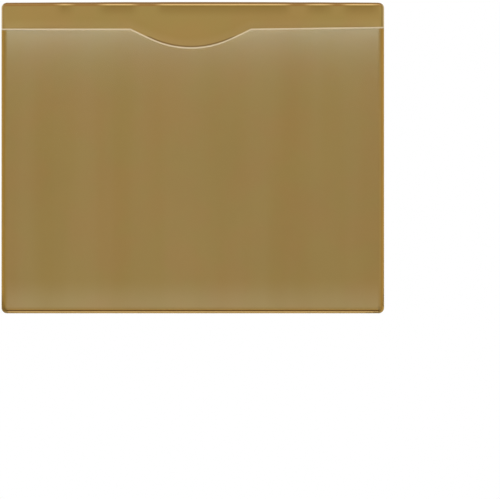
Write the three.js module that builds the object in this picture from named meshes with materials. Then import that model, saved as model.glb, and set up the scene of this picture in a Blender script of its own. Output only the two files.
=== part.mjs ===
// A magnetic document pocket: an opaque vinyl sheet, a clear vinyl film welded to its front
// along the sides and the bottom, and two flexible magnet strips taped across its back.
//
// Millimetres. X runs across the pocket and Z up to its mouth, and the film faces -Y. The
// magnet strips touch the steel that they hold to in the plane Y = 0, and the origin is the
// middle of the upper strip's contact face.

import * as THREE from "three";
import { mergeVertices } from "three/addons/utils/BufferGeometryUtils.js";

// The pocket takes a landscape A4 page.
const POCKET_WIDTH = 310;
const POCKET_HEIGHT = 252;
const CORNER_RADIUS = 4.5;
const SHEET_THICKNESS = 0.5;
const FILM_THICKNESS = 0.3;

// Bare sheet between the pocket's top and the film's free edge
const HEADER_HEIGHT = 21.3;

// The pressed rim follows the whole outline: a round bead, then a narrow groove.
const BEAD_WIDTH = 2;
const BEAD_HEIGHT = 0.55;
const GROOVE_WIDTH = 1;
const GROOVE_DEPTH = 0.12;

// The back of the sheet curves forward to its edge.
const BEVEL_WIDTH = 2.6;
const BEVEL_DEPTH = 0.35;

// The header's bead fades out just above the film, clear of the film's own bead.
const BEAD_END_GAP = 0.3;
const BEAD_END_LENGTH = 0.9;

// The film gapes at the mouth and lies flat at the bottom.
const MOUTH_GAPE = 8;
const GAPE_SHAPE = 1.25;
const GAPE_GROWTH = 1.2;

// Thumb notch in the middle of the film's free edge: two slanted flanks and a round floor
const NOTCH_WIDTH = 96.4;
const NOTCH_DEPTH = 15.2;
const NOTCH_FLOOR_RADIUS = 73;
const NOTCH_REACH = 60;

// Flexible magnet strips on the back, and the adhesive that holds them
const STRIP_LENGTH = 300.7;
const STRIP_HEIGHT = 13.4;
const STRIP_THICKNESS = 1.5;
const STRIP_EDGE = 0.2;
const STRIP_TOP_MARGIN = 11.1;
const STRIP_BOTTOM_MARGIN = 8.9;
const TAPE_THICKNESS = 0.2;
const TAPE_INSET = 0.5;

// How finely curves and the film are divided
const CORNER_STEPS = 8;
const BEAD_STEPS = 6;
const GROOVE_STEPS = 2;
const BEVEL_STEPS = 4;
const NOTCH_FLOOR_STEPS = 10;
const FILM_PITCH = 12;

// Heights, from the upper strip's middle
const TOP_Z = STRIP_TOP_MARGIN + STRIP_HEIGHT / 2;
const BOTTOM_Z = TOP_Z - POCKET_HEIGHT;
const MOUTH_Z = TOP_Z - HEADER_HEIGHT;
const LOWER_STRIP_Z = BOTTOM_Z + STRIP_BOTTOM_MARGIN + STRIP_HEIGHT / 2;

// Layers, from the steel forward
const SHEET_BACK_Y = -(STRIP_THICKNESS + TAPE_THICKNESS);
const SHEET_FRONT_Y = SHEET_BACK_Y - SHEET_THICKNESS;

// The film is welded down under the bead and the groove, and free inside them.
const WELD_WIDTH = BEAD_WIDTH + GROOVE_WIDTH;
const HALF_WIDTH = POCKET_WIDTH / 2;
const FREE_HALF_WIDTH = HALF_WIDTH - WELD_WIDTH;
const WELD_TOP_Z = BOTTOM_Z + WELD_WIDTH;

const sheetMaterial = new THREE.MeshStandardMaterial({ color: 0xa58b56, roughness: 0.5 });
const filmMaterial = new THREE.MeshStandardMaterial({
  color: 0xe6dcc2,
  roughness: 0.15,
  transparent: true,
  opacity: 0.3,
});
const magnetMaterial = new THREE.MeshStandardMaterial({ color: 0x2f2f2e, roughness: 0.75 });
const tapeMaterial = new THREE.MeshStandardMaterial({ color: 0xe4e0d6, roughness: 0.6 });

// Evenly spaced values from 0 to length, both ends included
function spread(length, steps) {
  return Array.from({ length: steps + 1 }, (_, i) => (length * i) / steps);
}

// Height of the pressed rim over a flat face, at a distance inside the outline
function rimHeight(inset) {
  if (inset < BEAD_WIDTH) return BEAD_HEIGHT * Math.sin((Math.PI * inset) / BEAD_WIDTH);
  if (inset < WELD_WIDTH) {
    return -GROOVE_DEPTH * Math.sin((Math.PI * (inset - BEAD_WIDTH)) / GROOVE_WIDTH);
  }
  return 0;
}

// How far the sheet's back stands forward of its flat, at a distance inside the outline. The
// bevel always leaves some of the sheet at its edge.
function bevelDepth(inset) {
  const share = Math.min(inset / BEVEL_WIDTH, 1);
  return Math.min(BEVEL_DEPTH, 0.8 * SHEET_THICKNESS) * (1 - share) ** 2;
}

// Share of the header's bead at a height: none beside the film, all of it above
function headerShare(z) {
  const start = MOUTH_Z + BEAD_END_GAP;
  return THREE.MathUtils.clamp((z - start) / BEAD_END_LENGTH, 0, 1);
}

// The pocket's outline drawn in by an inset, as points (x, z) anticlockwise from the front.
// Each side has two points of its own where the header's bead ends.
function outline(inset) {
  const radius = Math.max(CORNER_RADIUS - inset, CORNER_RADIUS / 20);
  const x = HALF_WIDTH - inset - radius;
  const low = BOTTOM_Z + inset + radius;
  const high = TOP_Z - inset - radius;
  const beadEnd = MOUTH_Z + BEAD_END_GAP;
  const points = [];
  const arc = (centreX, centreZ, from) => {
    const curve = new THREE.EllipseCurve(centreX, centreZ, radius, radius, from, from + Math.PI / 2);
    points.push(...curve.getPoints(CORNER_STEPS));
  };
  arc(x, low, -Math.PI / 2);
  points.push(new THREE.Vector2(x + radius, beadEnd));
  points.push(new THREE.Vector2(x + radius, beadEnd + BEAD_END_LENGTH));
  arc(x, high, 0);
  arc(-x, high, Math.PI / 2);
  points.push(new THREE.Vector2(-x - radius, beadEnd + BEAD_END_LENGTH));
  points.push(new THREE.Vector2(-x - radius, beadEnd));
  arc(-x, low, Math.PI);
  return points;
}

// A closed solid through a run of rings, each an inset of the outline and a rule for its Y
function loft(rings) {
  const positions = [];
  const index = [];
  const loops = rings.map(({ inset, y }) => {
    const points = outline(inset);
    points.forEach((p) => positions.push(p.x, y(p.y), p.y));
    return points;
  });
  const count = loops[0].length;
  for (let ring = 0; ring < rings.length - 1; ring++) {
    for (let i = 0; i < count; i++) {
      const a = ring * count + i;
      const b = ring * count + ((i + 1) % count);
      index.push(a, b, b + count, a, b + count, a + count);
    }
  }
  const last = (rings.length - 1) * count;
  const cap = THREE.ShapeUtils.triangulateShape(loops[0], []);
  cap.forEach(([a, b, c]) => index.push(a, c, b));
  cap.forEach(([a, b, c]) => index.push(last + a, last + b, last + c));
  const geometry = new THREE.BufferGeometry();
  geometry.setAttribute("position", new THREE.Float32BufferAttribute(positions, 3));
  geometry.setIndex(index);
  geometry.computeVertexNormals();
  return geometry;
}

// The sheet's back from the flat out to the edge, then its front from the edge in to the flat
function makeSheet() {
  const back = spread(BEVEL_WIDTH, BEVEL_STEPS)
    .reverse()
    .map((inset) => ({ inset, y: () => SHEET_BACK_Y - bevelDepth(inset) }));
  const insets = [
    ...spread(BEAD_WIDTH, BEAD_STEPS),
    ...spread(GROOVE_WIDTH, GROOVE_STEPS).slice(1).map((inset) => BEAD_WIDTH + inset),
  ];
  const front = insets.map((inset) => ({
    inset,
    y: (z) => SHEET_FRONT_Y - rimHeight(inset) * headerShare(z),
  }));
  const mesh = new THREE.Mesh(loft([...back, ...front]), sheetMaterial);
  mesh.name = "back_sheet";
  return mesh;
}

// The notch's floor is one arc, tangent to both flanks. Its radius is limited to the arc that
// reaches the notch's own corners.
const notchHalf = NOTCH_WIDTH / 2;
const widestFloor = (notchHalf ** 2 + NOTCH_DEPTH ** 2) / (2 * NOTCH_DEPTH);
const notchRadius = Math.min(NOTCH_FLOOR_RADIUS, widestFloor);
const notchCentre = notchRadius - NOTCH_DEPTH;
const notchSlope =
  Math.atan2(notchHalf, notchCentre) -
  Math.acos(Math.min(notchRadius / Math.hypot(notchHalf, notchCentre), 1));
const notchFloorHalf = notchRadius * Math.sin(notchSlope);

// Depth of the notch below the film's free edge at a distance from the middle
function notchDrop(x) {
  const across = Math.abs(x);
  if (across >= notchHalf) return 0;
  if (across >= notchFloorHalf) return (notchHalf - across) * Math.tan(notchSlope);
  return Math.sqrt(notchRadius ** 2 - across ** 2) - notchCentre;
}

// Values in rising order, with those that nearly coincide left out
function stations(values) {
  const sorted = values.toSorted((a, b) => a - b);
  return sorted.filter((value, i) => i === 0 || value - sorted[i - 1] > 1e-3);
}

// Distances inside the edge that carry the rim and the rounded corner
const rimStations = stations([
  ...spread(BEAD_WIDTH, BEAD_STEPS),
  ...spread(GROOVE_WIDTH, GROOVE_STEPS).map((inset) => BEAD_WIDTH + inset),
  CORNER_RADIUS,
]);
const rimReach = rimStations.at(-1);

// Columns of the film, from the left edge to the right
function filmColumns() {
  const innerX = HALF_WIDTH - rimReach;
  const sideLength = innerX - notchHalf;
  const sideSteps = Math.max(1, Math.round(sideLength / FILM_PITCH));
  const flank = notchHalf - notchFloorHalf;
  const right = [
    ...spread(notchFloorHalf, NOTCH_FLOOR_STEPS / 2),
    notchFloorHalf + flank / 2,
    ...spread(sideLength, sideSteps).map((x) => notchHalf + x),
    ...rimStations.map((inset) => HALF_WIDTH - inset),
  ];
  return stations([...right, ...right.map((x) => -x)]);
}

// Rows of the film, as heights from the bottom edge to the free edge beside the notch
function filmRows() {
  const height = MOUTH_Z - BOTTOM_Z;
  const steps = Math.round((height - rimReach) / FILM_PITCH);
  const free = spread(height - rimReach, steps).map((z) => rimReach + z);
  return stations([...rimStations, ...free]).map((z) => BOTTOM_Z + z);
}

// How far the film stands off the sheet
function gape(x, z) {
  const across = x / FREE_HALF_WIDTH;
  const up = (z - WELD_TOP_Z) / (MOUTH_Z - WELD_TOP_Z);
  if (Math.abs(across) >= 1 || up <= 0) return 0;
  return MOUTH_GAPE * (1 - across ** 2) ** GAPE_SHAPE * up ** GAPE_GROWTH;
}

// A point of the film's grid, moved so that square rings round a bottom corner become arcs
function roundCorner(x, z) {
  const side = HALF_WIDTH - Math.abs(x);
  const rise = z - BOTTOM_Z;
  const inset = Math.min(side, rise);
  if (Math.max(side, rise) >= CORNER_RADIUS) return { x, z, inset };
  const radius = CORNER_RADIUS - inset;
  const turn = (Math.PI / 4) * (1 + (side - rise) / radius);
  const roundedSide = CORNER_RADIUS - radius * Math.cos(turn);
  const roundedRise = CORNER_RADIUS - radius * Math.sin(turn);
  return { x: Math.sign(x) * (HALF_WIDTH - roundedSide), z: BOTTOM_Z + roundedRise, inset };
}

// The film as a box of thin cells, one across its thickness, each corner moved to its place
function makeFilm() {
  const columns = filmColumns();
  const rows = filmRows();
  const across = columns.length - 1;
  const up = rows.length - 1;
  const box = new THREE.BoxGeometry(across, up, 1, across, up, 1);
  box.deleteAttribute("normal");
  box.deleteAttribute("uv");
  const geometry = mergeVertices(box);
  const position = geometry.getAttribute("position");
  for (let i = 0; i < position.count; i++) {
    const column = Math.round(position.getX(i) + across / 2);
    const row = Math.round(position.getY(i) + up / 2);
    const outer = position.getZ(i) > 0;
    const point = roundCorner(columns[column], rows[row]);
    const pull = Math.max(0, 1 - (MOUTH_Z - point.z) / NOTCH_REACH);
    const z = point.z - notchDrop(point.x) * pull ** 2;
    const skin = outer ? FILM_THICKNESS + rimHeight(point.inset) : 0;
    position.setXYZ(i, point.x, SHEET_FRONT_Y - gape(point.x, z) - skin, z);
  }
  geometry.computeVertexNormals();
  const mesh = new THREE.Mesh(geometry, filmMaterial);
  mesh.name = "front_film";
  return mesh;
}

// A rectangle in the XZ plane, round the origin
function rectangle(length, height) {
  const shape = new THREE.Shape();
  shape.moveTo(-length / 2, -height / 2);
  shape.lineTo(length / 2, -height / 2);
  shape.lineTo(length / 2, height / 2);
  shape.lineTo(-length / 2, height / 2);
  shape.closePath();
  return shape;
}

// A magnet strip with slightly broken edges, its contact face in the plane Y = 0
function makeStrip(name, z) {
  const geometry = new THREE.ExtrudeGeometry(rectangle(STRIP_LENGTH, STRIP_HEIGHT), {
    depth: STRIP_THICKNESS - 2 * STRIP_EDGE,
    bevelThickness: STRIP_EDGE,
    bevelSize: STRIP_EDGE,
    bevelOffset: -STRIP_EDGE,
    bevelSegments: 2,
  });
  geometry.translate(0, 0, STRIP_EDGE);
  geometry.rotateX(Math.PI / 2);
  const mesh = new THREE.Mesh(geometry, magnetMaterial);
  mesh.name = name;
  mesh.position.set(0, 0, z);
  return mesh;
}

// The adhesive between a strip and the sheet, a little narrower than the strip
function makeTape(name, z) {
  const length = STRIP_LENGTH - 2 * TAPE_INSET;
  const height = STRIP_HEIGHT - 2 * TAPE_INSET;
  const mesh = new THREE.Mesh(new THREE.BoxGeometry(length, TAPE_THICKNESS, height), tapeMaterial);
  mesh.name = name;
  mesh.position.set(0, -STRIP_THICKNESS - TAPE_THICKNESS / 2, z);
  return mesh;
}

const pocket = new THREE.Group();
pocket.add(makeSheet());
pocket.add(makeFilm());
pocket.add(makeStrip("upper_magnet_strip", 0));
pocket.add(makeStrip("lower_magnet_strip", LOWER_STRIP_Z));
pocket.add(makeTape("upper_adhesive_tape", 0));
pocket.add(makeTape("lower_adhesive_tape", LOWER_STRIP_Z));

export default pocket;
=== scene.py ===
# %% [markdown]
# A magnetic document pocket. An opaque gold-brown vinyl sheet is the back. A clear vinyl film is
# welded to its front along the sides and the bottom, and its top edge is left free, with a
# shallow notch for a thumb. Two flexible magnet strips are taped across the back.
#
# The frame gives every piece its place and size. Here the flat pieces get their pressed rims,
# their slightly uneven edges and the finish of soft plastic.

# %% Load the frame
import math

import bpy
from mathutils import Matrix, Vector


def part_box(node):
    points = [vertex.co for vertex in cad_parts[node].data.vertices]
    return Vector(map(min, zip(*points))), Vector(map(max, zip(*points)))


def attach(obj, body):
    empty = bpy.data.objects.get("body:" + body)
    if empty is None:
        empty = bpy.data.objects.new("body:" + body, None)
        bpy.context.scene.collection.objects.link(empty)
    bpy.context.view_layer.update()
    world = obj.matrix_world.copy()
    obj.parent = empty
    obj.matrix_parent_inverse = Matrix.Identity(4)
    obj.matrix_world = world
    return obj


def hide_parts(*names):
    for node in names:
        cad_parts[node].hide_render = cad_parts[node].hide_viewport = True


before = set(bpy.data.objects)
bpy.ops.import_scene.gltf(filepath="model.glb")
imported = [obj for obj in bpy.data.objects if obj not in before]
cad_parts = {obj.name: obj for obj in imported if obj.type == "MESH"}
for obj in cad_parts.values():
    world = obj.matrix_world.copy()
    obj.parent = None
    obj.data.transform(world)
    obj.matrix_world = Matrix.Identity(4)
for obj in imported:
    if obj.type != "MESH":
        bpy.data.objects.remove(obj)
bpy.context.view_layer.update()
print("the frame's pieces:", ", ".join(sorted(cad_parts)))

# %% [markdown]
# Sizes come first. The outline, the mouth and the layers are read from the frame, so the pieces
# here follow it. Only what a box can't tell is written down: the radius of the corners, the
# film's thickness and the section of the pressed rim.

# %% Sizes of the pocket
MM = 0.001

sheet_low, sheet_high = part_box("back_sheet")
film_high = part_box("front_film")[1]
half_width = (sheet_high.x - sheet_low.x) / 2
half_height = (sheet_high.z - sheet_low.z) / 2
middle_z = (sheet_high.z + sheet_low.z) / 2
top = sheet_high.z
bottom = sheet_low.z
mouth = film_high.z
sheet_back = sheet_high.y
sheet_front = film_high.y
sheet_middle = (sheet_back + sheet_front) / 2

CORNER_RADIUS = 4.5 * MM
CORNER_SEGMENTS = 8
FILM_THICKNESS = 0.3 * MM
BEAD_WIDTH = 2 * MM
BEAD_HEIGHT = 0.55 * MM
GROOVE_WIDTH = 1 * MM
GROOVE_DEPTH = 0.12 * MM
weld_width = BEAD_WIDTH + GROOVE_WIDTH

print("pocket", round(half_width * 2 / MM, 1), "by", round(half_height * 2 / MM, 1), "mm")
print("the film's free edge is", round((top - mouth) / MM, 1), "mm below the top")

# %% [markdown]
# A hot bar presses the rim, so its shape depends only on how far inside the outline a point
# lies. The distance inside a rounded rectangle has a short formula, and every rule below reads
# it. This keeps the bead true round the corners, where a sweep would need mending.

# %% Distance inside the outline
def inside_by(x, z):
    """How far a point lies inside the pocket's rounded outline."""
    across = abs(x) - (half_width - CORNER_RADIUS)
    up = abs(z - middle_z) - (half_height - CORNER_RADIUS)
    round_part = math.hypot(max(across, 0), max(up, 0))
    return CORNER_RADIUS - round_part - min(max(across, up), 0)


def ease(value, start, end):
    """Zero before start, one after end, and a smooth rise between them."""
    share = min(max((value - start) / (end - start), 0), 1)
    return share * share * (3 - 2 * share)


print("the centre lies", round(inside_by(0, middle_z) / MM, 1), "mm inside")

# %% [markdown]
# Along the top the bar pressed unevenly. In five places the bead swells into a long lens, with a
# soft hollow in the header below it. Each lens is a start and an end along the pocket, and the
# swelling fades out over a few millimetres at both.

# %% Lenses in the top bead
LENSES = [
    (-110.9 * MM, -96.3 * MM),
    (-76.8 * MM, -44.4 * MM),
    (-29.8 * MM, 79.6 * MM),
    (90.9 * MM, 113.6 * MM),
    (120.9 * MM, 151.7 * MM),
]
LENS_FADE = 7 * MM
LENS_WIDENING = 0.4
LENS_BULGE = 0.06 * MM


def lens_at(x):
    """How much of a lens the top bead has at x, from none to all of it."""
    return max(
        ease(x, start - LENS_FADE / 3, start + LENS_FADE)
        * (1 - ease(x, end - LENS_FADE, end + LENS_FADE / 3))
        for start, end in LENSES
    )


def rim_height(inset, lens=0):
    """Height of the pressed rim over the flat: a round bead, then a narrow groove."""
    bead = BEAD_WIDTH * (1 + LENS_WIDENING * lens)
    if inset < bead:
        return BEAD_HEIGHT * math.sin(math.pi * inset / bead)
    if inset < bead + GROOVE_WIDTH:
        return -GROOVE_DEPTH * math.sin(math.pi * (inset - bead) / GROOVE_WIDTH)
    return 0


print("lens at the middle of the top:", round(lens_at(0), 2))

# %% [markdown]
# Every flat piece starts in the same way: a cube is added at its size and place, its corner
# edges are rounded with a bevel, and one broad face is inset again and again, which leaves the
# rings that the rim needs. Bisecting the whole piece at even steps then gives a grid that can
# bend. Operators act on all that is selected, so faces are always picked by their place.

# %% Helpers for working on one piece
MERGE_DISTANCE = 0.002 * MM


def work_on(piece):
    """Leaves everything else unselected and makes this piece the active one."""
    bpy.ops.object.select_all(action="DESELECT")
    piece.select_set(True)
    bpy.context.view_layer.objects.active = piece


def add_slab(name, low, high):
    """A box between two corners, with its place in its mesh and its object at the origin."""
    bpy.ops.object.select_all(action="DESELECT")
    centre = [(a + b) / 2 for a, b in zip(low, high)]
    size = [b - a for a, b in zip(low, high)]
    bpy.ops.mesh.primitive_cube_add(size=1, location=centre, scale=size)
    slab = bpy.context.active_object
    slab.name = name
    slab.data.name = name
    bpy.ops.object.transform_apply(location=True, rotation=True, scale=True)
    return slab


def pick(piece, faces=None, edges=None):
    """Selects, in edit mode, the faces or the edges for which a test holds."""
    work_on(piece)
    bpy.ops.object.mode_set(mode="EDIT")
    bpy.ops.mesh.select_mode(type="FACE" if faces else "EDGE")
    bpy.ops.mesh.select_all(action="DESELECT")
    bpy.ops.object.mode_set(mode="OBJECT")
    for part in piece.data.polygons if faces else piece.data.edges:
        part.select = faces(part) if faces else edges(part)
    bpy.ops.object.mode_set(mode="EDIT")


def round_corners(piece, radius, segments):
    """Rounds the four edges that run through the piece from front to back."""
    points = piece.data.vertices

    def through(edge):
        run = points[edge.vertices[0]].co - points[edge.vertices[1]].co
        return abs(run.y) > 0.5 * run.length

    pick(piece, edges=through)
    bpy.ops.mesh.bevel(offset=radius, segments=segments, affect="EDGES")
    bpy.ops.object.mode_set(mode="OBJECT")


def inset_face(piece, side, rings):
    """Insets the broad face on one side, once for each ring's distance from the last."""
    pick(piece, faces=lambda face: face.normal.y * side > 0.9)
    last = 0
    for ring in rings:
        bpy.ops.mesh.inset(thickness=ring - last, depth=0, use_even_offset=True)
        last = ring
    bpy.ops.object.mode_set(mode="OBJECT")


def cut_across(piece, places, axis):
    """Cuts the whole piece by a plane at each place along an axis."""
    normal = [1.0 if axis == i else 0.0 for i in range(3)]
    work_on(piece)
    bpy.ops.object.mode_set(mode="EDIT")
    for place in places:
        bpy.ops.mesh.select_all(action="SELECT")
        point = [n * place for n in normal]
        bpy.ops.mesh.bisect(plane_co=point, plane_no=normal)
    bpy.ops.object.mode_set(mode="OBJECT")


def steps_between(start, end, pitch):
    """Evenly spaced places from start to end, without the two ends."""
    count = max(1, round((end - start) / pitch))
    return [start + (end - start) * i / count for i in range(1, count)]


def finish_mesh(piece, angle=35):
    """Merges doubles, turns every face outwards and shades all but sharp edges smooth."""
    work_on(piece)
    bpy.ops.object.mode_set(mode="EDIT")
    bpy.ops.mesh.select_all(action="SELECT")
    bpy.ops.mesh.remove_doubles(threshold=MERGE_DISTANCE)
    bpy.ops.mesh.normals_make_consistent(inside=False)
    bpy.ops.object.mode_set(mode="OBJECT")
    bpy.ops.object.shade_smooth_by_angle(angle=math.radians(angle))
    print(piece.name, len(piece.data.polygons), "faces")


def note(piece, name, rule):
    """Stores a number on every vertex, which the materials read by its name."""
    layer = piece.data.attributes.new(name, "FLOAT", "POINT")
    layer.data.foreach_set("value", [rule(v.co) for v in piece.data.vertices])


# %% [markdown]
# The free edge of the film is straight but for the thumb notch: two slanted flanks and a floor
# that is one arc, tangent to both. The notch lies a little left of the middle and the edge is a
# little high at its right end, as on a film that was laid by hand.

# %% Free edge of the film
NOTCH_HALF = 48.8 * MM
NOTCH_DEPTH = 15.1 * MM
NOTCH_RADIUS = 76 * MM
NOTCH_REACH = 60 * MM
NOTCH_SHIFT = -1.5 * MM
RIGHT_RISE = 1.45 * MM

notch_centre = NOTCH_RADIUS - NOTCH_DEPTH
notch_slope = math.atan2(NOTCH_HALF, notch_centre) - math.acos(
    NOTCH_RADIUS / math.hypot(NOTCH_HALF, notch_centre)
)
notch_floor_half = NOTCH_RADIUS * math.sin(notch_slope)


def notch_drop(x):
    """Depth of the notch below the straight part of the free edge."""
    across = abs(x - NOTCH_SHIFT)
    if across >= NOTCH_HALF:
        return 0
    if across >= notch_floor_half:
        return (NOTCH_HALF - across) * math.tan(notch_slope)
    return math.sqrt(NOTCH_RADIUS**2 - across**2) - notch_centre


def right_rise(x):
    """How much higher the film lies towards its right end."""
    return RIGHT_RISE * max(0, (x - NOTCH_HALF) / (half_width - NOTCH_HALF))


def free_edge(x):
    """Height of the film's free edge."""
    return mouth - notch_drop(x) + right_rise(x)


print("notch floor", round((mouth - free_edge(0)) / MM, 1), "mm below the free edge")

# %% [markdown]
# The back sheet is one piece of vinyl, half a millimetre thick. In the header its rim stands up
# as a bead. Beside the film the sheet stays flat, because there the film carries the bead. Its
# back curves forward to the edge, where the bar squeezed it, and that curve is what catches the
# light along the top. The header also sinks a little under each lens, and the top edge is not
# quite straight: it bows up in the middle and down at the ends.

# %% Shape of the back sheet
RING_PITCH = 0.25 * MM
GRID_PITCH = 5 * MM
HEADER_BEAD_START = 0.3 * MM
HEADER_BEAD_RUN = 0.9 * MM
LENS_ZONE = 8 * MM
LENS_ZONE_FULL = 5 * MM
LENS_CUTS = 2 * MM
LENS_CLEAR_OF_CORNER = (3 * MM, 9 * MM)
TOP_BOW = 0.5 * MM
BOW_AT_MIDDLE = 0.35
BOW_REACH = 4 * MM
HOLLOW_DEPTH = 0.1 * MM
HOLLOW_START = 3 * MM
HOLLOW_DEEPEST = 5 * MM
HOLLOW_REACH = 12 * MM
BACK_CURVE_WIDTH = 2.6 * MM
BACK_CURVE_DEPTH = 0.38 * MM
BACK_CURVE_POWER = 1.4
BACK_RINGS = 6

lens_reach = BEAD_WIDTH * (1 + LENS_WIDENING) + GROOVE_WIDTH
front_rings = [RING_PITCH * i for i in range(1, round(lens_reach / RING_PITCH) + 2)]
back_rings = [BACK_CURVE_WIDTH * i / BACK_RINGS for i in range(1, BACK_RINGS + 1)]


def header_share(z):
    """None of the header's bead beside the film, all of it above."""
    return min(max((z - mouth - HEADER_BEAD_START) / HEADER_BEAD_RUN, 0), 1)


def top_bow(x):
    """How far the top edge stands over its straight line: a broad bow and a trace of each lens."""
    bow = TOP_BOW * (BOW_AT_MIDDLE - (x / half_width) ** 2)
    return bow + LENS_BULGE * lens_at(x) * ease(half_width - abs(x), *LENS_CLEAR_OF_CORNER)


def header_hollow(x, z):
    """Depth of the soft hollow that lies in the header under a lens."""
    down = top - z
    sink = ease(down, HOLLOW_START, HOLLOW_DEEPEST)
    rise = ease(down, HOLLOW_DEEPEST, HOLLOW_REACH)
    return HOLLOW_DEPTH * lens_at(x) * sink * (1 - rise)


def shape_sheet(piece):
    """Moves the sheet's front and back faces to the rim, the hollows and the back's curve."""
    for vertex in piece.data.vertices:
        x, y, z = vertex.co
        inset = inside_by(x, z)
        if y < sheet_middle:
            lens = lens_at(x) * ease(z, top - LENS_ZONE, top - LENS_ZONE_FULL)
            lift = rim_height(inset, lens) * header_share(z)
            vertex.co.y = sheet_front - lift + header_hollow(x, z)
        else:
            share = min(max(inset, 0) / BACK_CURVE_WIDTH, 1)
            vertex.co.y = sheet_back - BACK_CURVE_DEPTH * (1 - share) ** BACK_CURVE_POWER
        vertex.co.z = z + top_bow(x) * ease(z, top - BOW_REACH, top)


def make_sheet():
    """The sheet from a slab: rounded corners, rings on both faces, a grid, then its shape."""
    low = (-half_width, sheet_front, bottom)
    high = (half_width, sheet_back, top)
    piece = add_slab("vinyl_back_sheet", low, high)
    round_corners(piece, CORNER_RADIUS, CORNER_SEGMENTS)
    inset_face(piece, -1, front_rings)
    inset_face(piece, 1, back_rings)
    ends = [end + side * LENS_CUTS for lens in LENSES for end in lens for side in (-1, 1)]
    notch_columns = [NOTCH_SHIFT + side * NOTCH_HALF for side in (-1, 1)]
    columns = steps_between(-half_width, half_width, GRID_PITCH) + ends + notch_columns
    cut_across(piece, columns, 0)
    cut_across(piece, steps_between(bottom, top, GRID_PITCH), 2)
    bead_start = mouth + HEADER_BEAD_START
    cut_across(piece, [bead_start, bead_start + HEADER_BEAD_RUN], 2)
    shape_sheet(piece)
    finish_mesh(piece)
    return piece


back_sheet = make_sheet()

# %% [markdown]
# The rim has its own tone along the top, the bottom and the sides, and the tones meet in the
# corners. Two rules say whether the top or the bottom is the nearest side, with a short blend
# round each corner. The bottom's rule leaves a little more of its corners to the sides, because
# the sides' weld runs through to the end.

# %% Numbers for the sheet's material
CORNER_KEPT = 1.5 * MM
CORNER_BLEND = 1.2 * MM
LENS_TONE_REACH = 16 * MM


def nearness(distance, others):
    """One where this side is the nearest, none where another is, smooth round a corner."""
    return ease(min(others) - distance, -CORNER_BLEND, CORNER_BLEND)


def near_top(p):
    """How far the top is the nearest side."""
    return nearness(top - p.z, (half_width - abs(p.x), p.z - bottom))


def near_bottom(p):
    """How far the bottom is the nearest side."""
    return nearness(p.z - bottom + CORNER_KEPT, (half_width - abs(p.x), top - p.z))


def lens_tone(p):
    """How much of a lens is above a point of the header."""
    return lens_at(p.x) if p.z > top - LENS_TONE_REACH else 0


top_middle = Vector((0, 0, top))
print("at the top, nearness of top and bottom:", near_top(top_middle), near_bottom(top_middle))

# %% [markdown]
# The sheet's material reads how far inside the outline a point lies, which side is nearest,
# whether a lens is above it, how high it is over the film's edge and whether it is on the back.
# These are stored as numbers on the mesh, because the marks of the hot bar and the film, and the
# light and shade painted along them, follow the shape, and distances stay true where a picture
# would stretch.

# %% Store the sheet's numbers
note(back_sheet, "inset", lambda p: inside_by(p.x, p.z) / MM)
note(back_sheet, "near_top", near_top)
note(back_sheet, "near_bottom", near_bottom)
note(back_sheet, "lens", lens_tone)
note(back_sheet, "below_top", lambda p: (top - p.z) / MM)
note(back_sheet, "above_bottom", lambda p: (p.z - bottom) / MM)
note(back_sheet, "above_edge", lambda p: (p.z - free_edge(p.x)) / MM)
note(back_sheet, "on_back", lambda p: 1 if p.y > sheet_middle else 0)
note(back_sheet, "beside_notch", lambda p: max(0, abs(p.x - NOTCH_SHIFT) - notch_floor_half) / MM)
note(back_sheet, "right_half", lambda p: 1 if p.x > 0 else 0)
numbers = [layer.name for layer in back_sheet.data.attributes if layer.data_type == "FLOAT"]
print("numbers on the sheet:", ", ".join(numbers))

# %% [markdown]
# The front film is a clear sheet, 0.3 mm thick. Sides and bottom are welded down under a bead and
# a groove. Inside them it stands off the sheet, more and more towards the mouth. It is made as
# the back sheet is, from a slab of the whole outline that is cut off at the mouth, and then each
# vertex moves to the rule for its place. The notch is made by pulling the rows below it down, so
# the edge stays smooth.

# %% Shape of the film
MOUTH_GAPE = 8 * MM
GAPE_SHAPE = 1.25
GAPE_GROWTH = 1.2
LIP_WIDTH = 0.9 * MM
LIP_HEIGHT = 0.12 * MM
EDGE_DROOP = 0.06
LIP_ROWS = (0.4, 0.8, 1.2, 2, 3.2)
FILM_GRID_PITCH = 5 * MM

free_half_width = half_width - weld_width
weld_top = bottom + weld_width
film_rings = [RING_PITCH * i for i in range(1, round(weld_width / RING_PITCH) + 1)]
edge_rows = [mouth - LIP_WIDTH * share for share in LIP_ROWS]


def gape(x, z):
    """How far the film stands off the sheet."""
    across = x / free_half_width
    up = (min(z, mouth) - weld_top) / (mouth - weld_top)
    if abs(across) >= 1 or up <= 0:
        return 0
    return MOUTH_GAPE * (1 - across**2) ** GAPE_SHAPE * up**GAPE_GROWTH


def shape_film(piece):
    """Moves the film's two faces to the gape, the rim, the notch and the lip at its edge."""
    film_middle = sheet_front - FILM_THICKNESS / 2
    for vertex in piece.data.vertices:
        x, y, z = vertex.co
        pull = max(0, 1 - (mouth - z) / NOTCH_REACH) ** 2
        height = z + (right_rise(x) - notch_drop(x)) * pull
        stand_off = gape(x, height)
        inner = sheet_front - stand_off
        if y < film_middle:
            lip = LIP_HEIGHT * (1 - ease(mouth - z, 0, LIP_WIDTH))
            inner -= FILM_THICKNESS + rim_height(inside_by(x, z)) + lip
        vertex.co.y = inner
        vertex.co.z = height - EDGE_DROOP * stand_off * pull


def cut_off_above(piece, height):
    """Cuts the piece at a height, takes away what is above and closes the cut."""
    work_on(piece)
    bpy.ops.object.mode_set(mode="EDIT")
    bpy.ops.mesh.select_all(action="SELECT")
    bpy.ops.mesh.bisect(
        plane_co=(0, 0, height),
        plane_no=(0, 0, 1),
        use_fill=True,
        clear_outer=True,
    )
    bpy.ops.object.mode_set(mode="OBJECT")


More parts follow.
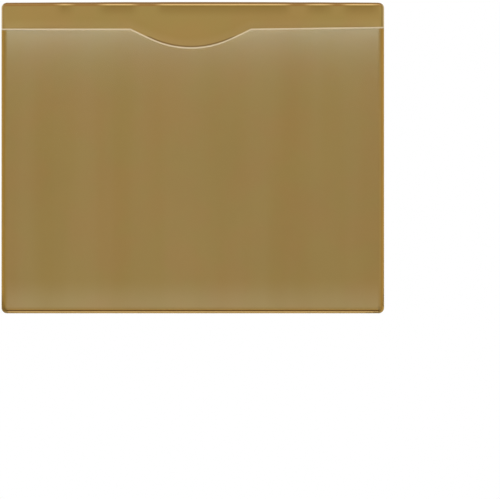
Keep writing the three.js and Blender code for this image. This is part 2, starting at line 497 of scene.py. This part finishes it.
def make_film():
    """The film from a slab: corners, rings, the cut at the mouth, a grid, then its shape."""
    low = (-half_width, sheet_front - FILM_THICKNESS, bottom)
    high = (half_width, sheet_front, top)
    piece = add_slab("clear_front_film", low, high)
    round_corners(piece, CORNER_RADIUS, CORNER_SEGMENTS)
    inset_face(piece, -1, film_rings)
    cut_off_above(piece, mouth)
    notch_places = [NOTCH_HALF, notch_floor_half]
    columns = steps_between(-half_width, half_width, FILM_GRID_PITCH)
    columns += [NOTCH_SHIFT + side * place for place in notch_places for side in (-1, 1)]
    cut_across(piece, columns, 0)
    cut_across(piece, steps_between(bottom, mouth, FILM_GRID_PITCH) + edge_rows, 2)
    shape_film(piece)
    finish_mesh(piece)
    return piece


front_film = make_film()

# %% [markdown]
# The cut edge of the film shines as a line of even width, so it is measured square to the edge.
# On the slanted flanks of the notch that is less than straight down. Where the film stands off
# the sheet its edge also droops, and the line has to follow it.

# %% Store the film's numbers
def below_edge(p):
    """Distance below the free edge, in millimetres, square to the edge on the flanks."""
    slanted = notch_floor_half < abs(p.x - NOTCH_SHIFT) < NOTCH_HALF
    lean = math.cos(notch_slope) if slanted else 1
    return (free_edge(p.x) - p.z) * lean / MM


def droop(x):
    """How far the free edge droops where the film stands off the sheet."""
    return EDGE_DROOP * gape(x, free_edge(x))


note(front_film, "inset", lambda p: inside_by(p.x, p.z) / MM)
note(front_film, "below_edge", lambda p: below_edge(p) - droop(p.x) / MM)
note(front_film, "below_mouth", lambda p: (mouth - p.z) / MM)
print("the edge droops", round(droop(0) / MM, 2), "mm in the middle")

# %% [markdown]
# The magnet strips are cut from a roll of flexible magnet: ferrite powder in rubber, with sharp
# cut edges. Each is a slab whose edges are barely broken by a bevel. A guillotine leaves the long
# edges true to a few hundredths, so the waviness is very slight.

# %% Magnet strips
STRIP_EDGE = 0.2 * MM
STRIP_WAVE = 0.04 * MM
LONG_WAVE = 41
SHORT_WAVE = 97
WAVE_OFFSET = 50
STRIP_PITCH = 6 * MM
strip_nodes = ["upper_magnet_strip", "lower_magnet_strip"]


def make_strip(node):
    """A strip at its node's place, with broken edges and a slightly wavy outline."""
    low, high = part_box(node)
    piece = add_slab("flexible_" + node, low, high)
    pick(piece, edges=lambda edge: True)
    bpy.ops.mesh.bevel(offset=STRIP_EDGE, segments=2, affect="EDGES")
    bpy.ops.object.mode_set(mode="OBJECT")
    cut_across(piece, steps_between(low.x, high.x, STRIP_PITCH), 0)
    centre = (low.z + high.z) / 2
    for vertex in piece.data.vertices:
        wave = math.sin(vertex.co.x * LONG_WAVE)
        wave += math.sin(vertex.co.x * SHORT_WAVE + centre * WAVE_OFFSET)
        vertex.co.z += STRIP_WAVE / 2 * wave * (vertex.co.z - centre) / (high.z - centre)
    finish_mesh(piece, angle=50)
    return piece


magnet_strips = [make_strip(node) for node in strip_nodes]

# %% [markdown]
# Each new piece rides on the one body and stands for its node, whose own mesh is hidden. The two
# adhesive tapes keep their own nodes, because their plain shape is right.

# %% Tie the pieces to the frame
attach(back_sheet, "root")
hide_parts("back_sheet")
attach(front_film, "root")
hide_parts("front_film")
for strip, strip_node in zip(magnet_strips, strip_nodes):
    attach(strip, "root")
    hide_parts(strip_node)
print("pieces made:", 2 + len(magnet_strips))

# %% [markdown]
# Materials are built from a few helpers: one makes a node and sets its sockets, one turns a
# colour as a screen shows it into the linear values that shaders use, and one makes a ramp of
# colours along a distance. Noise always lies on a piece's own coordinates, so it moves with it.

# %% Helpers for materials
def linear(red, green, blue):
    """A screen colour, 0 to 255, as the linear colour that a shader takes."""
    def channel(value):
        share = value / 255
        return share / 12.92 if share <= 0.04045 else ((share + 0.055) / 1.055) ** 2.4
    return (channel(red), channel(green), channel(blue), 1)


def start_material(name):
    """A new material with its node tree emptied but for the output."""
    material = bpy.data.materials.new(name)
    material.use_nodes = True
    tree = material.node_tree
    tree.nodes.clear()
    output = tree.nodes.new("ShaderNodeOutputMaterial")
    return material, tree, output


def add(tree, kind, **sockets):
    """A node of a kind, with values or links put on its sockets by name."""
    node = tree.nodes.new("ShaderNode" + kind)
    for name, value in sockets.items():
        connect(tree, value, node.inputs[name.replace("_", " ")])
    return node


def connect(tree, value, socket):
    """Sets a socket to a value, or links an output to it."""
    if isinstance(value, bpy.types.NodeSocket):
        tree.links.new(value, socket)
    else:
        socket.default_value = value


def read(tree, name):
    """A number stored on the mesh."""
    node = tree.nodes.new("ShaderNodeAttribute")
    node.attribute_name = name
    return node.outputs["Fac"]


def reach(tree, value, low, high, to_low=0.0, to_high=1.0):
    """A value taken from one range to another, smooth at both ends."""
    node = add(tree, "MapRange", Value=value)
    node.interpolation_type = "SMOOTHSTEP"
    node.inputs["From Min"].default_value = low
    node.inputs["From Max"].default_value = high
    node.inputs["To Min"].default_value = to_low
    node.inputs["To Max"].default_value = to_high
    return node.outputs["Result"]


def calc(tree, operation, first, second):
    """Two numbers joined by a sum, a product or another operation."""
    node = tree.nodes.new("ShaderNodeMath")
    node.operation = operation
    connect(tree, first, node.inputs[0])
    connect(tree, second, node.inputs[1])
    return node.outputs[0]


def mix(tree, share, first, second, blend="MIX"):
    """Two colours mixed by a share."""
    node = tree.nodes.new("ShaderNodeMix")
    node.data_type = "RGBA"
    node.blend_type = blend
    connect(tree, share, node.inputs[0])
    connect(tree, first, node.inputs[6])
    connect(tree, second, node.inputs[7])
    return node.outputs[2]


def ramp(tree, value, stops):
    """Colours along a value, each stop a place from 0 to 1 and a colour."""
    node = add(tree, "ValToRGB", Fac=value)
    elements = node.color_ramp.elements
    while len(elements) < len(stops):
        elements.new(1)
    for element, (place, colour) in zip(elements, stops):
        element.position = place
        element.color = colour
    return node.outputs["Color"]


def noise(tree, scale, detail=2.0, stretch=(1, 1, 1)):
    """Noise over the piece's own coordinates, stretched along its axes."""
    coords = tree.nodes.new("ShaderNodeTexCoord")
    place = tree.nodes.new("ShaderNodeMapping")
    place.inputs["Scale"].default_value = stretch
    tree.links.new(coords.outputs["Object"], place.inputs["Vector"])
    node = add(tree, "TexNoise", Vector=place.outputs["Vector"], Scale=scale, Detail=detail)
    return node.outputs["Fac"]


def bump(tree, height, strength, distance):
    """A bump from a height."""
    node = add(tree, "Bump", Height=height, Strength=strength, Distance=distance)
    return node.outputs["Normal"]


def finish_material(tree, shader, output):
    """Links a shader to the material's output."""
    tree.links.new(shader.outputs[0], output.inputs["Surface"])


def paint(piece, material):
    """Gives a piece one material."""
    piece.data.materials.clear()
    piece.data.materials.append(material)


print("white on a screen is", linear(255, 255, 255), "in a shader")


# %% [markdown]
# The vinyl is an even gold-brown with a satin skin and a grain too fine to see from a step away.
# One material covers the whole sheet, so it first needs to know where it is: front or back, under
# the film or bare, left or right. These zones come from the numbers on the mesh, and each of the
# next cells adds one thing to the colour.

# %% Zones of the sheet
COVERED_FADE = (-0.6, -0.2)
WELD_FADE = (3.0, 5.6)


def read_zones(tree):
    """Which part of the sheet is being shaded, each zone from 0 to 1."""
    behind = read(tree, "on_back")
    in_front = calc(tree, "SUBTRACT", 1.0, behind)
    covered = reach(tree, read(tree, "above_edge"), *COVERED_FADE, 1, 0)
    covered = calc(tree, "MULTIPLY", covered, in_front)
    return {
        "behind": behind,
        "in_front": in_front,
        "covered": covered,
        "bare": calc(tree, "SUBTRACT", in_front, covered),
        "right_half": read(tree, "right_half"),
        "inset": read(tree, "inset"),
    }


def tint(tree, share, colour, factor):
    """A colour multiplied by a factor, as far as a share says."""
    return mix(tree, share, colour, mix(tree, 1.0, colour, factor, "MULTIPLY"))


print("the film covers the sheet from", -COVERED_FADE[0], "mm below the film's edge")

# %% [markdown]
# Calendered vinyl is never quite one colour. Broad soft patches lean to green or to red, and a
# slower change runs from lighter to darker. Both are noise, and both are kept very weak, because
# the real sheet looks plain until its tones are compared.

# %% Colour of the plain vinyl
VINYL_GREEN = linear(155, 129, 67)
VINYL_WARM = linear(157, 127, 67)
PATCHES_A_METRE = 22
PATCH_RANGE = (0.38, 0.62)
TONES_A_METRE = 9
TONE_RANGE = (0.35, 0.65)
TONE_SWING = 0.015
WHITE = (1, 1, 1, 1)


def plain_vinyl(tree, zones):
    """The sheet's own colour, with its faint patches on the front."""
    patches = reach(tree, noise(tree, PATCHES_A_METRE, 3), *PATCH_RANGE)
    patches = calc(tree, "MULTIPLY", patches, zones["in_front"])
    colour = mix(tree, patches, VINYL_GREEN, VINYL_WARM)
    swing = (1 - TONE_SWING, 1 + TONE_SWING)
    tone = reach(tree, noise(tree, TONES_A_METRE, 2), *TONE_RANGE, *swing)
    return mix(tree, 1.0, colour, tone, "MULTIPLY")


print("the vinyl's tone swings by", TONE_SWING * 100, "percent")

# %% [markdown]
# Under the film the sheet is painted a little darker: partly the film's own tint, partly painted
# shade of the film over it. A pale haze lies over it low down, where the film touches it, and a
# painted sheen of the film lies over it in upright streaks. Haze and sheen belong to the film, but
# they are painted on the sheet: as a thin mix over a whole clear surface they render with a false
# grain. The back, where no film lies, is a lighter tone of the same vinyl.

# %% Colour under the film
# painted shade: the sheet under the film is darkened for the film's shade as well as its tint
UNDER_FILM_SHADE = (0.864, 0.856, 0.9, 1)
BACK_TONE = (1.08, 1.10, 1.22, 1)
# a pale colour for the film's haze and for its painted sheen and reflection
FILM_HAZE_AND_SHEEN = linear(250, 241, 202)
HAZE_AT_BOTTOM = 0.066
HAZE_FADE = (5, 30)
# the upright streaks are painted sheen of the film
PAINTED_SHEEN_IN_STREAKS = 0.018
STREAKS_A_METRE = 28
STREAK_RANGE = (0.36, 0.64)
UPRIGHT = (1, 1, 0.06)


def under_film(tree, zones, colour):
    """Painted shade, haze and painted sheen under the film, and the lighter tone of the back."""
    shade = mix(tree, zones["covered"], WHITE, UNDER_FILM_SHADE)
    colour = mix(tree, 1.0, colour, shade, "MULTIPLY")
    low = reach(tree, read(tree, "above_bottom"), *HAZE_FADE, HAZE_AT_BOTTOM, 0)
    # painted sheen of the film in upright streaks, added to the haze low down
    streaks = noise(tree, STREAKS_A_METRE, 2, UPRIGHT)
    streaks = reach(tree, streaks, *STREAK_RANGE, 0, PAINTED_SHEEN_IN_STREAKS)
    haze = calc(tree, "MULTIPLY", calc(tree, "ADD", low, streaks), zones["covered"])
    haze = calc(tree, "MULTIPLY", haze, reach(tree, zones["inset"], *WELD_FADE))
    colour = mix(tree, haze, colour, FILM_HAZE_AND_SHEEN)
    back_tone = mix(tree, zones["behind"], WHITE, BACK_TONE)
    return mix(tree, 1.0, colour, back_tone, "MULTIPLY")


print("the haze fades out", HAZE_FADE[1], "mm above the bottom")

# %% [markdown]
# The bare header is painted a little brighter close over the film's cut edge, a painted light for
# the light that spills out of the film. It is painted darker in the hollows under the lenses, as
# painted shade. A thin line of painted shade lies on the sheet along the floor of the notch and
# fades out on its flanks.

# %% Colour of the header
# painted light: the header is brightened just over the film's cut edge
ABOVE_FILM_PAINTED_LIGHT = (1.09, 1.11, 1.30, 1)
GLOW_FADE = (1, 9)
# painted shade in the hollows under the lenses
HOLLOW_PAINTED_SHADE = linear(138, 110, 50)
HOLLOW_FADE = (3.4, 13)
HOLLOW_STRENGTH = 0.8
# painted shade along the floor of the notch
NOTCH_SHADOW = linear(120, 94, 52)
NOTCH_SHADOW_FADE = (0.7, 1.7)
NOTCH_SHADOW_STRENGTH = 0.8
FADE_BESIDE_NOTCH = 0.3


def header_tones(tree, zones, colour):
    """Painted light over the film's edge, painted shade in the lens hollows and in the notch."""
    above_edge = read(tree, "above_edge")
    glow = calc(tree, "MULTIPLY", reach(tree, above_edge, *GLOW_FADE, 1, 0), zones["bare"])
    colour = tint(tree, glow, colour, ABOVE_FILM_PAINTED_LIGHT)
    hollow = reach(tree, read(tree, "below_top"), *HOLLOW_FADE, HOLLOW_STRENGTH, 0)
    hollow = calc(tree, "MULTIPLY", hollow, read(tree, "lens"))
    hollow = calc(tree, "MULTIPLY", hollow, zones["in_front"])
    colour = mix(tree, hollow, colour, HOLLOW_PAINTED_SHADE)
    beside = calc(tree, "MULTIPLY", read(tree, "beside_notch"), FADE_BESIDE_NOTCH)
    away = calc(tree, "ADD", calc(tree, "ABSOLUTE", above_edge, 0.0), beside)
    shadow = reach(tree, away, *NOTCH_SHADOW_FADE, NOTCH_SHADOW_STRENGTH, 0)
    shadow = calc(tree, "MULTIPLY", shadow, zones["in_front"])
    return mix(tree, shadow, colour, NOTCH_SHADOW)


print("the glow fades out", GLOW_FADE[1], "mm above the film's edge")

# %% [markdown]
# Along the rim, where the hot bar pressed the sheet, it is darker and more orange, and over that
# tone the light and shade of the rim's relief are painted: a painted highlight on the crest of
# the bead and of each lens, and painted shade on the bead's slopes and in the groove. Each kind of
# side has its own ramp of tones along the distance inside the outline, in millimetres. A ramp
# follows the rim round its corners, which a straight stripe would not.

# %% Tones along the front rim
RIM_SPAN = 5.0
FRONT_RIM_FADE = (2.9, 4.2)
# painted shade: the welded rim is darker on the left side
LEFT_RIM_SHADE = (0.90, 0.90, 0.80, 1)


def rim_ramp(tree, along, *stops):
    """A ramp along the distance inside the outline, its stops in millimetres."""
    return ramp(tree, along, [(place / RIM_SPAN, linear(*colour)) for place, colour in stops])


def top_rim(tree, along):
    """The top bead: brown with painted highlight and shade where plain, a painted crest highlight in
    a lens.
    """
    # painted highlight on the bead's crest and painted shade on its slopes, over the darker weld
    # tone
    plain = rim_ramp(
        tree, along, (0.5, (143, 108, 58)), (1.1, (134, 98, 46)), (1.8, (180, 136, 74)),
        (2.6, (143, 103, 42)), (3.3, (158, 129, 66)),
    )
    # a brighter painted highlight on the crest of a lens
    lens = rim_ramp(
        tree, along, (0.5, (132, 96, 44)), (1.1, (134, 92, 30)), (1.9, (246, 208, 140)),
        (2.7, (150, 116, 46)), (3.4, (132, 105, 40)), (4.4, (140, 113, 52)),
    )
    return mix(tree, read(tree, "lens"), plain, lens)


def side_rim(tree, along, zones):
    """The two sides: a thin painted highlight beside the header, orange beside the film."""
    # a thin painted highlight along the outer edge beside the header
    bare_left = rim_ramp(
        tree, along, (0.3, (190, 164, 116)), (1.1, (164, 133, 72)), (1.9, (154, 124, 62)),
        (2.7, (159, 132, 71)), (3.6, (158, 130, 68)),
    )
    bare_right = rim_ramp(
        tree, along, (0.3, (206, 182, 134)), (1.1, (154, 126, 68)), (1.9, (141, 116, 53)),
        (2.7, (157, 131, 68)), (3.6, (159, 132, 68)),
    )
    welded = rim_ramp(
        tree, along, (0.3, (174, 142, 80)), (1.1, (166, 126, 50)), (2.1, (152, 114, 44)),
        (2.8, (152, 121, 60)), (3.7, (156, 128, 71)),
    )
    left_half = calc(tree, "SUBTRACT", 1.0, zones["right_half"])
    welded = tint(tree, left_half, welded, LEFT_RIM_SHADE)
    bare = mix(tree, zones["right_half"], bare_left, bare_right)
    return mix(tree, zones["covered"], bare, welded)


def bottom_rim(tree, along):
    """The bottom weld: a painted highlight on the bead and painted shade in the groove inside it."""
    # painted highlight on the bead and painted shade in the groove
    return rim_ramp(
        tree, along, (0.6, (172, 140, 82)), (1.5, (196, 162, 98)), (2.0, (84, 50, 4)),
        (2.6, (84, 50, 4)), (3.0, (170, 134, 64)), (4.2, (160, 131, 71)),
    )


def front_rim(tree, zones, colour):
    """The tones of the nearest side, weld colour with painted light and shade, faded out inside the
    rim.
    """
    # the rim's tones hold weld colour together with painted light and shade
    along = calc(tree, "DIVIDE", zones["inset"], RIM_SPAN)
    rim = mix(tree, read(tree, "near_bottom"), side_rim(tree, along, zones), bottom_rim(tree, along))
    rim = mix(tree, read(tree, "near_top"), rim, top_rim(tree, along))
    pressed = reach(tree, zones["inset"], *FRONT_RIM_FADE, 1, 0)
    pressed = calc(tree, "MULTIPLY", pressed, zones["in_front"])
    return mix(tree, pressed, colour, rim)


print("the front rim's tones span", RIM_SPAN, "mm")

# %% [markdown]
# On the back the squeezed edge is one soft slope with no groove. Its light and shade are painted:
# a painted highlight along the top and down one side, a dimmer painted tone down the other and
# painted shade along the bottom, so one tone for each side is enough.

# %% Tones along the back rim
# painted light and shade of the back's slope, one tone for each side
BACK_RIM_PAINTED_HIGHLIGHT = linear(197, 169, 127)
BACK_RIM_PAINTED_DIM = linear(150, 126, 70)
BACK_RIM_PAINTED_SHADE = linear(122, 105, 48)
BACK_RIM_STRENGTH = 0.9
BACK_RIM_FADE = (2.2, 3.0)


def back_rim(tree, zones, colour):
    """The back's squeezed edge, with painted light and shade, one tone for each side."""
    rim = mix(tree, zones["right_half"], BACK_RIM_PAINTED_DIM, BACK_RIM_PAINTED_HIGHLIGHT)
    rim = mix(tree, read(tree, "near_bottom"), rim, BACK_RIM_PAINTED_SHADE)
    rim = mix(tree, read(tree, "near_top"), rim, BACK_RIM_PAINTED_HIGHLIGHT)
    pressed = reach(tree, zones["inset"], *BACK_RIM_FADE, BACK_RIM_STRENGTH, 0)
    pressed = calc(tree, "MULTIPLY", pressed, zones["behind"])
    return mix(tree, pressed, colour, rim)


print("the back rim covers", round(BACK_RIM_STRENGTH * 100), "percent of the vinyl's colour")

# %% [markdown]
# Now the layers of colour go on top of each other, the rims last, and onto one satin plastic. Its
# grain is a very fine and weak bump, as calendered vinyl has.

# %% Vinyl of the back sheet
GRAINS_A_METRE = 2600
GRAIN_STRENGTH = 0.05
FINE_RELIEF = 0.0001


def make_vinyl():
    """Gold-brown satin vinyl with a heat-darkened rim that carries painted highlights and shade."""
    material, tree, output = start_material("gold_vinyl")
    zones = read_zones(tree)
    colour = plain_vinyl(tree, zones)
    colour = under_film(tree, zones, colour)
    colour = header_tones(tree, zones, colour)
    colour = back_rim(tree, zones, colour)
    colour = front_rim(tree, zones, colour)
    grain = bump(tree, noise(tree, GRAINS_A_METRE, 2), GRAIN_STRENGTH, FINE_RELIEF)
    surface = add(
        tree,
        "BsdfPrincipled",
        Base_Color=colour,
        Roughness=0.46,
        IOR=1.45,
        Normal=grain,
    )
    surface.inputs["Specular IOR Level"].default_value = 0.25
    finish_material(tree, surface, output)
    return material


vinyl = make_vinyl()
paint(back_sheet, vinyl)
print("vinyl:", len(vinyl.node_tree.nodes), "nodes")

# %% [markdown]
# The film is nearly clear. What shows of it is its gloss, a pale veil that grows towards the mouth,
# where it stands off the sheet, partly haze and partly a painted reflection of the room, and the
# cut edge, which carries a painted highlight as a bright line. A clear surface over a real solid
# would need glass, but such thin film hardly bends the view, so the surface is a mix of see-through
# and a little pale plastic.
#
# The gloss is added by how far the surface slants away from the eye. The facing number of a layer
# weight is used, because a Fresnel number turns the film's inner face into a mirror at a slant.

# %% Clear film
# painted highlight along the film's cut edge
CUT_EDGE_PAINTED_HIGHLIGHT = linear(226, 206, 168)
CUT_EDGE_WIDTH = (0.85, 1.5)
EDGE_COVER = 0.7
# the veil is haze together with a painted reflection of the room
VEIL_AT_MOUTH = 0.152
VEIL_HALVES_EVERY = 11.8
CLOUDS_A_METRE = 30
CLOUD_STRETCH = (1, 1, 0.25)
CLOUD_RANGE = (0.3, 0.7)
CLOUD_SWING = 0.06
RIPPLES_A_METRE = 18
RIPPLE_RELIEF = 0.001
GLOSS_AT_A_SLANT = 0.6


def mouth_haze_and_reflection(tree):
    """A pale veil of haze and painted reflection, halving every few millimetres below the mouth, a
    little cloudy.
    """
    fall = calc(tree, "MAXIMUM", read(tree, "below_mouth"), 0.0)
    fade = calc(tree, "POWER", 0.5, calc(tree, "DIVIDE", fall, VEIL_HALVES_EVERY))
    clouds = noise(tree, CLOUDS_A_METRE, 3, CLOUD_STRETCH)
    clouds = reach(tree, clouds, *CLOUD_RANGE, 1 - CLOUD_SWING, 1 + CLOUD_SWING)
    veil = calc(tree, "MULTIPLY", calc(tree, "MULTIPLY", fade, VEIL_AT_MOUTH), clouds)
    return calc(tree, "MULTIPLY", veil, reach(tree, read(tree, "inset"), *WELD_FADE))


def add_slant_gloss(tree, plastic, ripple):
    """Gloss over a surface, more of it the more the surface slants away."""
    gloss = add(tree, "BsdfGlossy", Color=WHITE, Roughness=0.1, Normal=ripple)
    slant = add(tree, "LayerWeight", Blend=0.5, Normal=ripple)
    sheen = calc(tree, "POWER", slant.outputs["Facing"], 5.0)
    sheen = calc(tree, "MULTIPLY", sheen, GLOSS_AT_A_SLANT)
    both = tree.nodes.new("ShaderNodeMixShader")
    tree.links.new(sheen, both.inputs[0])
    tree.links.new(plastic.outputs["BSDF"], both.inputs[1])
    tree.links.new(gloss.outputs["BSDF"], both.inputs[2])
    return both


def make_clear_film():
    """Clear glossy vinyl with haze and painted reflection towards the mouth and a painted edge
    highlight.
    """
    material, tree, output = start_material("clear_vinyl")
    veil = mouth_haze_and_reflection(tree)
    edge = reach(tree, read(tree, "below_edge"), *CUT_EDGE_WIDTH, 1, 0)
    cover = calc(tree, "MAXIMUM", veil, calc(tree, "MULTIPLY", edge, EDGE_COVER))
    colour = mix(tree, edge, FILM_HAZE_AND_SHEEN, CUT_EDGE_PAINTED_HIGHLIGHT)
    ripple = bump(tree, noise(tree, RIPPLES_A_METRE, 2), 0.1, RIPPLE_RELIEF)
    plastic = add(
        tree,
        "BsdfPrincipled",
        Base_Color=colour,
        Roughness=0.3,
        Alpha=cover,
        Normal=ripple,
    )
    finish_material(tree, add_slant_gloss(tree, plastic, ripple), output)
    return material


clear_film = make_clear_film()
paint(front_film, clear_film)
print("film:", len(clear_film.node_tree.nodes), "nodes")

# %% [markdown]
# Magnet rubber is charcoal, dull and close-grained. Rolling leaves it very fine lines along its
# length, which here are noise stretched along X, in the colour, the roughness and the bump. The
# adhesive between strip and sheet is milky and slightly cloudy, and it hardly shows.

# %% Magnet rubber and adhesive
LINES_A_METRE = 900
ALONG_THE_STRIP = (0.04, 1, 1)
RUBBER_DARK = linear(32, 32, 31)
RUBBER_PALE = linear(39, 39, 38)
RUBBER_ROUGHNESS = (0.62, 0.78)
TAPE_CLOUDS_A_METRE = 300
TAPE_PALE = linear(230, 226, 216)
TAPE_WARM = linear(224, 218, 204)


def make_rubber():
    """Dull charcoal rubber with fine lines along its length."""
    material, tree, output = start_material("magnet_rubber")
    lines = noise(tree, LINES_A_METRE, 3, ALONG_THE_STRIP)
    colour = mix(tree, lines, RUBBER_DARK, RUBBER_PALE)
    rough = reach(tree, lines, 0.3, 0.7, *RUBBER_ROUGHNESS)
    grain = bump(tree, lines, 0.2, FINE_RELIEF)
    surface = add(tree, "BsdfPrincipled", Base_Color=colour, Roughness=rough, Normal=grain)
    surface.inputs["Specular IOR Level"].default_value = 0.15
    finish_material(tree, surface, output)
    return material


def make_adhesive():
    """Milky transfer adhesive, a little cloudy."""
    material, tree, output = start_material("adhesive")
    clouds = noise(tree, TAPE_CLOUDS_A_METRE, 3)
    colour = mix(tree, clouds, TAPE_PALE, TAPE_WARM)
    grain = bump(tree, clouds, 0.2, FINE_RELIEF)
    surface = add(tree, "BsdfPrincipled", Base_Color=colour, Roughness=0.55, Normal=grain)
    finish_material(tree, surface, output)
    return material


rubber = make_rubber()
for strip in magnet_strips:
    paint(strip, rubber)
adhesive = make_adhesive()
for tape in ("upper_adhesive_tape", "lower_adhesive_tape"):
    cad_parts[tape].material_slots[0].material = adhesive
print("materials:", vinyl.name, clear_film.name, rubber.name, adhesive.name)

# %% [markdown]
# The room is a plain studio: a pale floor well below the pocket, and a white surround that the
# camera and the gloss see. As a source of light the surround is only half as strong, which leaves
# the shaping of the rim to the lamps.

# %% Floor and surround
FLOOR_Z = -0.5
FLOOR_SIZE = 3.0
SURROUND_LIGHT = 0.5


def make_floor():
    """A pale floor, part of the stage and not of the object."""
    bpy.ops.object.select_all(action="DESELECT")
    bpy.ops.mesh.primitive_plane_add(size=FLOOR_SIZE, location=(0, 0, FLOOR_Z))
    floor = bpy.context.active_object
    floor.name = "floor"
    material, tree, output = start_material("floor_paint")
    surface = add(tree, "BsdfPrincipled", Base_Color=(0.86, 0.86, 0.86, 1), Roughness=0.8)
    finish_material(tree, surface, output)
    floor.data.materials.append(material)


def make_surround():
    """White where the camera and the gloss look, dimmer as a light."""
    world = bpy.data.worlds.new("surround")
    bpy.context.scene.world = world
    world.use_nodes = True
    tree = world.node_tree
    tree.nodes.clear()
    rays = tree.nodes.new("ShaderNodeLightPath")
    seen = calc(tree, "MAXIMUM", rays.outputs["Is Camera Ray"], rays.outputs["Is Glossy Ray"])
    seen = calc(tree, "MAXIMUM", seen, rays.outputs["Is Transmission Ray"])
    strength = add(tree, "MapRange", Value=seen)
    strength.inputs["To Min"].default_value = SURROUND_LIGHT
    strength.inputs["To Max"].default_value = 1.0
    light = add(tree, "Background", Color=(1, 1, 1, 1), Strength=strength.outputs["Result"])
    output = tree.nodes.new("ShaderNodeOutputWorld")
    tree.links.new(light.outputs["Background"], output.inputs["Surface"])


make_floor()
make_surround()
print("floor", FLOOR_SIZE, "m wide,", round(bottom - FLOOR_Z, 2), "m below the pocket")

# %% [markdown]
# Three broad soft lamps light the pocket. The key stands high in front on the left, so that the
# upper slopes of the rim catch it. A weak fill in front on the right opens the shade, and a third
# lamp lights the back, which would otherwise have only the surround.

# %% Lamps
def make_lamp(name, place, size, power):
    """A square soft lamp that faces the pocket's middle."""
    bpy.ops.object.select_all(action="DESELECT")
    bpy.ops.object.light_add(type="AREA", location=place)
    lamp = bpy.context.active_object
    lamp.name = name
    lamp.data.size = size
    lamp.data.energy = power
    aim = Vector((0, 0, middle_z)) - lamp.location
    lamp.rotation_euler = aim.to_track_quat("-Z", "Y").to_euler()


make_lamp("key", place=(-1.2, -1.8, 1.4), size=1.6, power=31)
make_lamp("fill", place=(1.7, -1.6, 0.1), size=1.4, power=8)
make_lamp("back", place=(1.0, 1.8, 1.2), size=1.4, power=34)

# %% [markdown]
# The camera looks straight at the front from three metres with a long lens, because the picture
# shows the pocket with no perspective. The frame is wider than the pocket, with the pocket up and
# to the left in it.

# %% Camera
PICTURE_WIDTH = 500
LEFT_EDGE_PIXEL = 1.55
RIGHT_EDGE_PIXEL = 384.08
CAMERA_DISTANCE = 3.0
CAMERA_DROP = 74.3 * MM
SENSOR_WIDTH = 36

pixel_size = 2 * half_width / (RIGHT_EDGE_PIXEL - LEFT_EDGE_PIXEL)
frame_width = PICTURE_WIDTH * pixel_size
camera_x = (PICTURE_WIDTH / 2 - (LEFT_EDGE_PIXEL + RIGHT_EDGE_PIXEL) / 2) * pixel_size
bpy.ops.object.camera_add(
    location=(camera_x, sheet_front - CAMERA_DISTANCE, middle_z - CAMERA_DROP),
    rotation=(math.pi / 2, 0, 0),
)
camera = bpy.context.active_object
camera.data.sensor_width = SENSOR_WIDTH
camera.data.lens = SENSOR_WIDTH * CAMERA_DISTANCE / frame_width
bpy.context.scene.camera = camera
bpy.context.scene.view_settings.view_transform = "Standard"
print("frame", round(frame_width / MM, 1), "mm wide, lens", round(camera.data.lens, 1), "mm")
